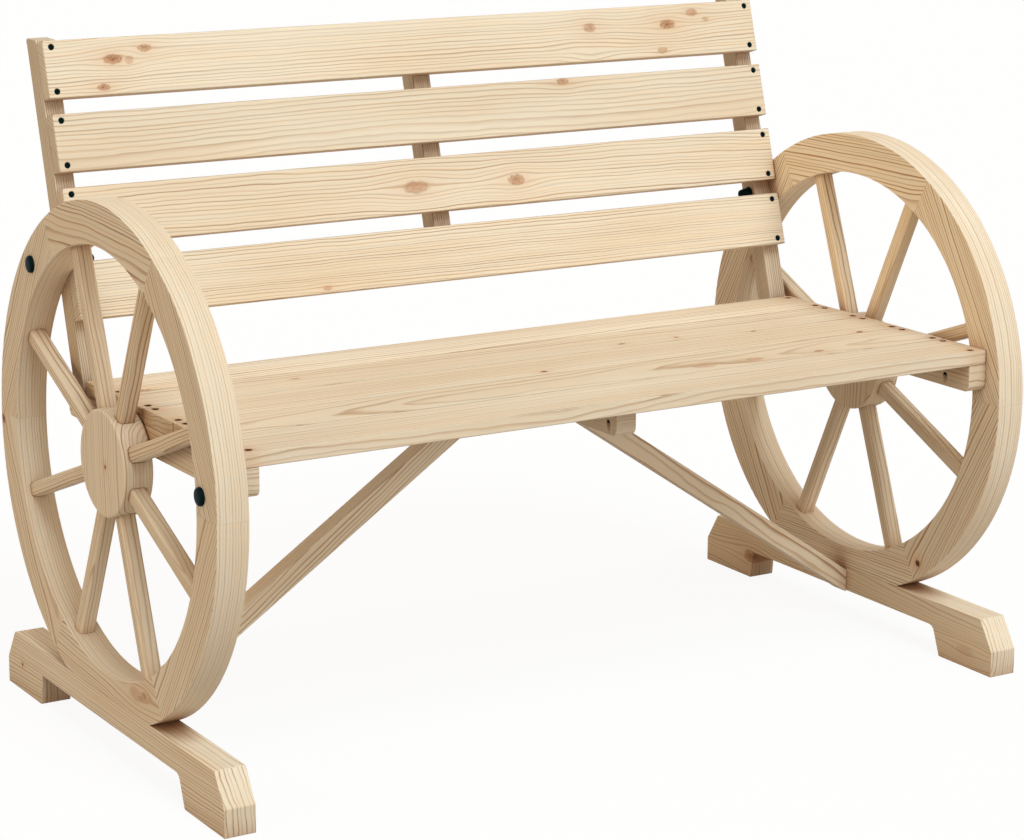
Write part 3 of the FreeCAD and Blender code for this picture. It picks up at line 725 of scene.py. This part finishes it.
def set_many(name, mesh, places, material, replaced):
    """One piece made of a mesh repeated at (place, direction) pairs, in place of CAD nodes."""
    points, faces = [], []
    for place, direction in places:
        turn = direction.to_track_quat("Z", "Y").to_matrix()
        start = len(points)
        points += [place + turn @ vertex.co for vertex in mesh.vertices]
        faces += [tuple(start + index for index in face.vertices) for face in mesh.polygons]
    joined = bpy.data.meshes.new(name)
    joined.from_pydata(points, [], faces)
    joined.update()
    joined.polygons.foreach_set("use_smooth", [True] * len(joined.polygons))
    joined.set_sharp_from_angle(angle=math.radians(SHARP_ANGLE))
    joined.materials.append(material)
    piece = bpy.data.objects.new(name, joined)
    bpy.context.scene.collection.objects.link(piece)
    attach(piece, "root")
    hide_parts(*replaced)


def finish_screws(slat_steel):
    """Screws with cross recesses in the slats and in the seat, whose heads are painted dark brown as the
    shade in their holes.
    """
    sunk_head = turned_mesh("sunk_head", SUNK_HEAD)
    out, up = Vector((0, -math.cos(tilt), math.sin(tilt))), Vector(UP)
    slat_places = [(farthest(corners, out), out) for corners in islands("slat_screws")]
    set_many("slat_screw_set", sunk_head, slat_places, slat_steel, ["slat_screws"])
    seat_places = [(farthest(corners, up), up) for corners in islands("seat_screws")]
    # Painted shade: the seat's screw heads are dark brown like the shade in their holes
    hole_shade_steel = black_steel("seat_screw_hole_shade", 0.6, HOLE_SHADE_STEEL, HOLE_SHADE_STEEL_PALE, gloss=0.0)
    set_many("seat_screw_set", sunk_head, seat_places, hole_shade_steel, ["seat_screws"])


def rim_places(name, sign):
    """The outer (1) or inner (-1) end of each bolt or nut in the rims, and the way that it faces."""
    places = []
    for corners in islands(name):
        middle = sum(corners, Vector()) / len(corners)
        way = Vector((sign * math.copysign(1, middle.x), 0, 0))
        places.append((farthest(corners, way), way))
    return places


def finish_bolts(steel):
    """Domed bolts with their washers and domed nuts."""
    bolt, nut = turned_mesh("domed_bolt", DOMED_BOLT), turned_mesh("domed_nut", DOMED_NUT)
    set_many("rim_bolt_set", bolt, rim_places("rim_bolts", 1), steel, ["rim_bolts"])
    set_many("rim_nut_set", nut, rim_places("rim_nuts", -1), steel, ["rim_nuts"])
    dress("rim_washers", steel, 0.3)


def finish_hidden(steel):
    """The screws that lie deep or out of sight, and the dowels."""
    for name in ("pocket_screws", "post_foot_screws", "batten_screws", "foot_screws", "brace_screws"):
        dress(name, steel, 0.2)
    dowel = fir("dowel_fir", board_axes(ACROSS_BENCH, UP), (0, 0, 0), pith=(20, 20), ring=3.0)
    dress("rim_dowels", dowel, 0)


def finish_fasteners():
    """All screws, bolts, washers, nuts and dowels."""
    bolt_steel, screw_steel = black_steel("bolt_black", 0.36), black_steel("screw_black", 0.42)
    finish_screws(screw_steel)
    finish_bolts(bolt_steel)
    finish_hidden(screw_steel)


def seen_share(g):
    """1 for camera rays and for what they see mirrored or through glass, 0 for other light."""
    path = g.add("ShaderNodeLightPath").outputs
    seen = g.math("MAXIMUM", path["Is Camera Ray"], path["Is Glossy Ray"])
    return g.math("MAXIMUM", seen, path["Is Transmission Ray"])


def make_floor():
    """A plain pale floor that keeps a soft shadow."""
    half = FLOOR_HALF_WIDTH
    corners = [(-half, -half, 0), (half, -half, 0), (half, half, 0), (-half, half, 0)]
    mesh = bpy.data.meshes.new("floor")
    mesh.from_pydata(corners, [], [(0, 1, 2, 3)])
    floor = bpy.data.objects.new("floor", mesh)
    bpy.context.scene.collection.objects.link(floor)
    material, g, shader = new_material("floor_white")
    g.tree.nodes.remove(shader)
    seen = seen_share(g)
    matt = g.add("ShaderNodeBsdfDiffuse", Color=g.blend(seen, FLOOR_BOUNCE, WHITE))
    glow = g.add("ShaderNodeEmission", Color=WHITE, Strength=1.0)
    mix = g.add("ShaderNodeMixShader", Fac=g.math("MULTIPLY", seen, FLOOR_GLOW_SHARE))
    g.feed(mix.inputs[1], matt.outputs[0])
    g.feed(mix.inputs[2], glow.outputs[0])
    g.feed(g.tree.nodes["Material Output"].inputs["Surface"], mix.outputs[0])
    mesh.materials.append(material)


def lamp(name, elevation, heading, strength, softness, colour):
    """A far soft lamp."""
    data = bpy.data.lights.new(name, "SUN")
    data.energy = strength
    data.color = colour
    data.angle = math.radians(softness)
    piece = bpy.data.objects.new(name, data)
    piece.rotation_euler = (math.radians(90 - elevation), 0, math.radians(heading))
    bpy.context.scene.collection.objects.link(piece)


def make_light():
    """Soft studio light: a key, weaker lamps from all four sides and a warm surround."""
    world = bpy.data.worlds.new("studio")
    bpy.context.scene.world = world
    world.use_nodes = True
    g = Graph(world.node_tree)
    background = world.node_tree.nodes["Background"]
    seen = seen_share(g)
    g.feed(background.inputs["Color"], g.blend(seen, SURROUND_COLOUR, WHITE))
    g.feed(background.inputs["Strength"], g.span(seen, 0.0, 1.0, SURROUND_STRENGTH, 1.0, smooth=False))
    for name, settings in LAMPS.items():
        lamp(name, *settings)


def make_camera():
    """The photograph's viewpoint."""
    data = bpy.data.cameras.new("camera")
    data.sensor_width = SENSOR_WIDTH
    data.lens = FOCAL_LENGTH_PX / IMAGE_WIDTH_PX * SENSOR_WIDTH
    data.shift_x = (IMAGE_WIDTH_PX / 2 - AXIS_PX[0]) / IMAGE_WIDTH_PX
    data.shift_y = (AXIS_PX[1] - IMAGE_HEIGHT_PX / 2) / IMAGE_WIDTH_PX
    camera = bpy.data.objects.new("camera", data)
    camera.location = CAMERA_PLACE
    camera.rotation_euler = Euler((math.radians(90 + CAMERA_PITCH), 0, math.radians(-CAMERA_YAW)))
    bpy.context.scene.collection.objects.link(camera)
    bpy.context.scene.camera = camera


finish_seat_and_back()
finish_feet()
finish_bearers()
finish_posts()
finish_braces()
finish_wheel("left")
finish_wheel("right")
finish_fasteners()
make_floor()
make_light()
make_camera()
bpy.context.scene.view_settings.view_transform = "Standard"
